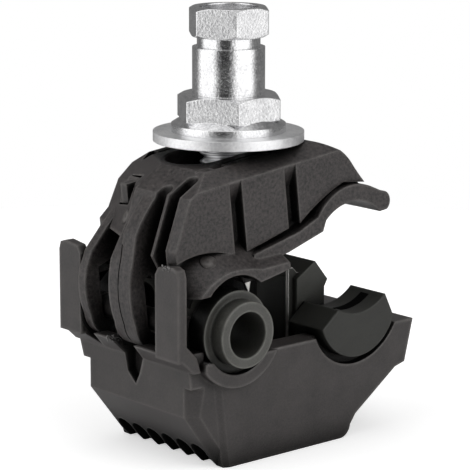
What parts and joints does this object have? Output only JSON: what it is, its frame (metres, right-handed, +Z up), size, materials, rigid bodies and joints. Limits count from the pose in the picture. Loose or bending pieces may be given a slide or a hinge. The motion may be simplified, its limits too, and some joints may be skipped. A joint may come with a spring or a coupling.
{
  "type": "insulation piercing connector",
  "caption": "Two hinged black plastic jaws with rubber seals and toothed contact blades clamp two cables; a shear nut on a central bolt draws them together.",
  "frame": {"origin": "where the clamp bolt's axis meets the flat base", "axes": "+Z up the clamp bolt, +Y along both cables away from the tap sleeve, +X from the tap cable to the main cable"},
  "size_m": [0.0443, 0.0284, 0.0609],
  "materials": {
    "body_plastic": "black glass-filled nylon, fine speckled moulded surface",
    "seal_rubber": "dark olive-grey moulded rubber",
    "zinc_steel": "bright zinc-plated steel, grainy on the hexagon faces",
    "tinned_copper": "tinned copper strip"
  },
  "bodies": {
    "body": {"lower_body": "body_plastic", "clamp_bolt": "zinc_steel", "main_gasket_front": "seal_rubber", "main_gasket_rear": "seal_rubber", "contact_boot": "seal_rubber", "lower_blade_front": "tinned_copper", "lower_blade_rear": "tinned_copper", "tap_sleeve": "seal_rubber", "tap_end_cap": "seal_rubber"},
    "washer": {"flat_washer": "zinc_steel"},
    "nut": {"shear_nut": "zinc_steel"},
    "jaw": {"upper_jaw": "body_plastic", "upper_blade_front": "tinned_copper", "upper_blade_rear": "tinned_copper", "jaw_insert": "body_plastic"}
  },
  "joints": [
    {"name": "washer_slide", "type": "slide", "parent": "body", "child": "washer", "axis": [0, 0, -1], "range_m": [0, 0.00364]},
    {"name": "nut_turn", "type": "hinge", "parent": "washer", "child": "nut", "pos_m": [0, 0, 0.0438], "axis": [0, 0, -1], "range_deg": [0, 1044]},
    {"name": "jaw_swing", "type": "hinge", "parent": "body", "child": "jaw", "pos_m": [-0.0154, 0, 0.02], "axis": [0, 1, 0], "range_deg": [0, 12.05]}
  ],
  "couplings": [
    {"joint": "washer_slide", "follows": "nut_turn", "m_per_rad": 0.00019894},
    {"joint": "jaw_swing", "follows": "nut_turn", "ratio": 0.011494}
  ]
}
